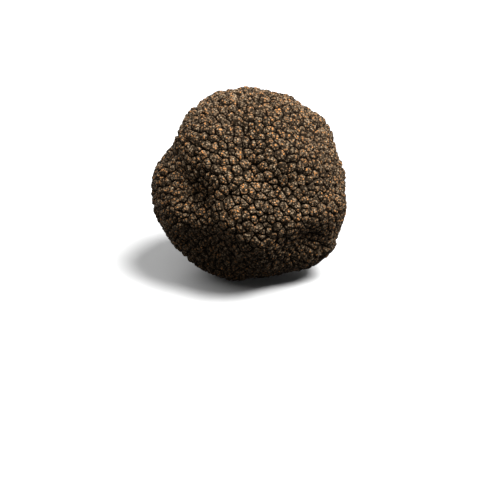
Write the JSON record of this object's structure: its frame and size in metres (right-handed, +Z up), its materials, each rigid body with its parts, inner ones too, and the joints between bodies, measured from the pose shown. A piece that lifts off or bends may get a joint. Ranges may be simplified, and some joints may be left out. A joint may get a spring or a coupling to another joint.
{
  "type": "black truffle",
  "caption": "Whole black truffle: a lumpy, near-round fungus body with a dark skin of low polygonal warts, resting on a small flat spot.",
  "frame": {"origin": "on the resting plane, inside the flat spot, straight under the centre that the body grew out from", "axes": "+Z up, -Y towards the viewer of the picture, +X towards the viewer's right, along the body's greatest width"},
  "size_m": [0.0639, 0.0629, 0.0632],
  "materials": {
    "truffle_skin": "dry, rough and dull warty skin: near-black cracks, dark brown warts with tan and rust-brown tips"
  },
  "bodies": {
    "root": {"truffle": "truffle_skin"}
  },
  "joints": []
}
